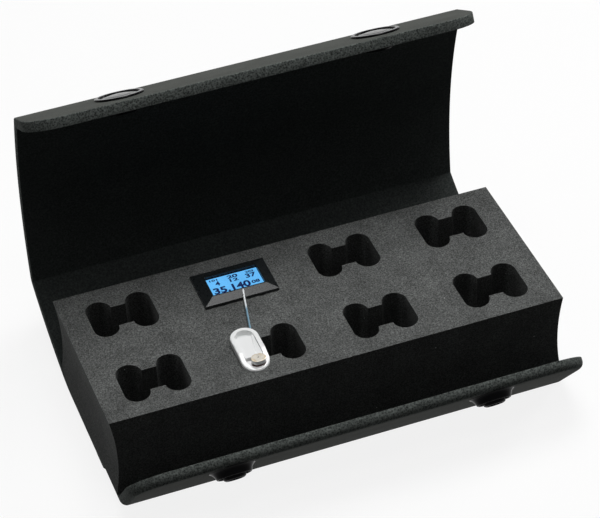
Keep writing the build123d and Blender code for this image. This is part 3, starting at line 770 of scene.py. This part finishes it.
def build_digits():
    """Plain numbers on the glass, joined to one piece."""
    low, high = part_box("display_lcd")
    centre = (low + high) / 2
    made = []
    for text, across, up, width, height in LCD_NUMBERS:
        bpy.ops.object.text_add(location=(0, 0, 0))
        number = bpy.context.object
        number.data.body = text
        number.data.size = 1
        number.data.offset = DIGIT_BOLDNESS
        number.data.extrude = DIGIT_RELIEF
        number.data.materials.append(LCD_INK)
        bpy.ops.object.convert(target="MESH")
        number = bpy.context.object
        bpy.ops.object.origin_set(type="ORIGIN_GEOMETRY", center="BOUNDS")
        number.scale = (width * MM / number.dimensions.x, height * MM / number.dimensions.y,
                        DIGIT_RELIEF_SCALE)
        number.location = (centre.x + across * MM, centre.y + up * MM,
                           high.z - LCD_DROP + DIGIT_LIFT)
        made.append(settle(number))
    for number in made:
        number.select_set(True)
    bpy.context.view_layer.objects.active = made[0]
    bpy.ops.object.join()
    digits = settle(active("lcd_digits"))
    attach(digits, "display")


# Stage

def seen_directly(tree):
    """1 for rays that show a thing in the picture, 0 for light that only bounces off it."""
    path = add(tree, "ShaderNodeLightPath")
    seen = path.outputs["Is Camera Ray"]
    for kind in ("Is Glossy Ray", "Is Transmission Ray"):
        seen = add(tree, "ShaderNodeMath", {0: seen, 1: path.outputs[kind]},
                   operation="MAXIMUM").outputs[0]
    return seen


def build_floor():
    """A pale floor that keeps the shadow, and bounces less light than it shows."""
    bpy.ops.mesh.primitive_plane_add(size=FLOOR_SIZE, location=(0, 0, 0))
    floor = active("floor")
    material, tree, output = new_material("paper_white")
    paper = add(tree, "ShaderNodeBsdfDiffuse")
    paper.inputs["Color"].default_value = linear(FLOOR_PAPER)
    glow = add(tree, "ShaderNodeEmission", Strength=1.0)
    white = add(tree, "ShaderNodeMixShader", {1: paper.outputs[0], 2: glow.outputs[0]},
                Fac=FLOOR_WHITE)
    grey = add(tree, "ShaderNodeBsdfDiffuse")
    grey.inputs["Color"].default_value = linear(FLOOR_BOUNCE)
    surface = add(tree, "ShaderNodeMixShader",
                  {0: seen_directly(tree), 1: grey.outputs[0], 2: white.outputs[0]})
    finish_material(tree, output, surface)
    floor.data.materials.append(material)


def build_surround():
    """A surround that shows white and gives only a little light."""
    world = bpy.data.worlds.new("surround")
    world.use_nodes = True
    bpy.context.scene.world = world
    tree = world.node_tree
    tree.nodes.clear()
    dim = add(tree, "ShaderNodeBackground", Strength=AMBIENT)
    bright = add(tree, "ShaderNodeBackground", Strength=1.0)
    for background in (dim, bright):
        background.inputs["Color"].default_value = (1, 1, 1, 1)
    mixed = add(tree, "ShaderNodeMixShader",
                {0: seen_directly(tree), 1: dim.outputs[0], 2: bright.outputs[0]})
    add(tree, "ShaderNodeOutputWorld", {"Surface": mixed.outputs[0]})


def hang_lamps():
    """Soft light from above, with weaker lamps in front and to both sides."""
    for name, (place, width, depth, watts) in LAMPS.items():
        bpy.ops.object.light_add(type="AREA", location=place)
        lamp = bpy.context.object
        lamp.name = name
        lamp.data.shape = "RECTANGLE"
        lamp.data.size = width
        lamp.data.size_y = depth
        lamp.data.energy = watts
        towards = LAMPS_LOOK_AT - Vector(place)
        lamp.rotation_euler = towards.to_track_quat("-Z", "Y").to_euler()


def aim_camera():
    """Puts the camera where it was fitted, turned about the middle of the block's top."""
    azimuth = radians(CAMERA_AZIMUTH)
    elevation = radians(CAMERA_ELEVATION)
    roll = radians(CAMERA_ROLL)
    back = Vector((sin(azimuth) * cos(elevation), -cos(azimuth) * cos(elevation), sin(elevation)))
    level = Vector((cos(azimuth), sin(azimuth), 0))
    upright = back.cross(level)
    right = cos(roll) * level + sin(roll) * upright
    up = cos(roll) * upright - sin(roll) * level
    target = Vector((0, 0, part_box("insert_block")[1].z))
    place = target + back * CAMERA_DISTANCE - right * CAMERA_SHIFT_RIGHT - up * CAMERA_SHIFT_UP
    bpy.ops.object.camera_add()
    camera = bpy.context.object
    camera.matrix_world = (Matrix.Translation(place)
                           @ Matrix((right, up, back)).transposed().to_4x4())
    camera.data.sensor_width = SENSOR_WIDTH
    camera.data.lens = FOCAL_PIXELS * SENSOR_WIDTH / PHOTO_WIDTH
    camera.data.clip_start = CAMERA_NEAR
    bpy.context.scene.camera = camera


FINISHES = {
    "insert_block": BLOCK_FOAM, "insert_floor": BLOCK_FOAM,
    "display_bezel": BEZEL_BLACK, "display_window": CLEAR, "display_backlight": LIGHT_GUIDE,
    "display_case": BEZEL_BLACK, "display_board": BOARD_GREEN, "display_cell": STEEL,
    "display_cell_clip": STEEL, "contact_wire": WIRE,
    "crystal_holder": WHITE_GLOSS, "crystal_can": GAP_SHADE_BROWN, "crystal_band": WHITE_GLOSS,
    "crystal_cap": BRASS, "crystal_tag": WHITE_GLOSS, "crystal_pins": BRASS,
}
for side in ("left_", "right_"):
    FINISHES[side + "cap"] = CAP_BLACK
    FINISHES[side + "socket"] = STUD_BLACK
    FINISHES[side + "stud_post"] = STUD_BLACK
    FINISHES[side + "socket_spring"] = STEEL
for node, material in FINISHES.items():
    dress(node, material)

build_sheet()
build_studs()
build_glass()
build_digits()
build_floor()
build_surround()
hang_lamps()
aim_camera()
bpy.context.scene.view_settings.view_transform = "Standard"
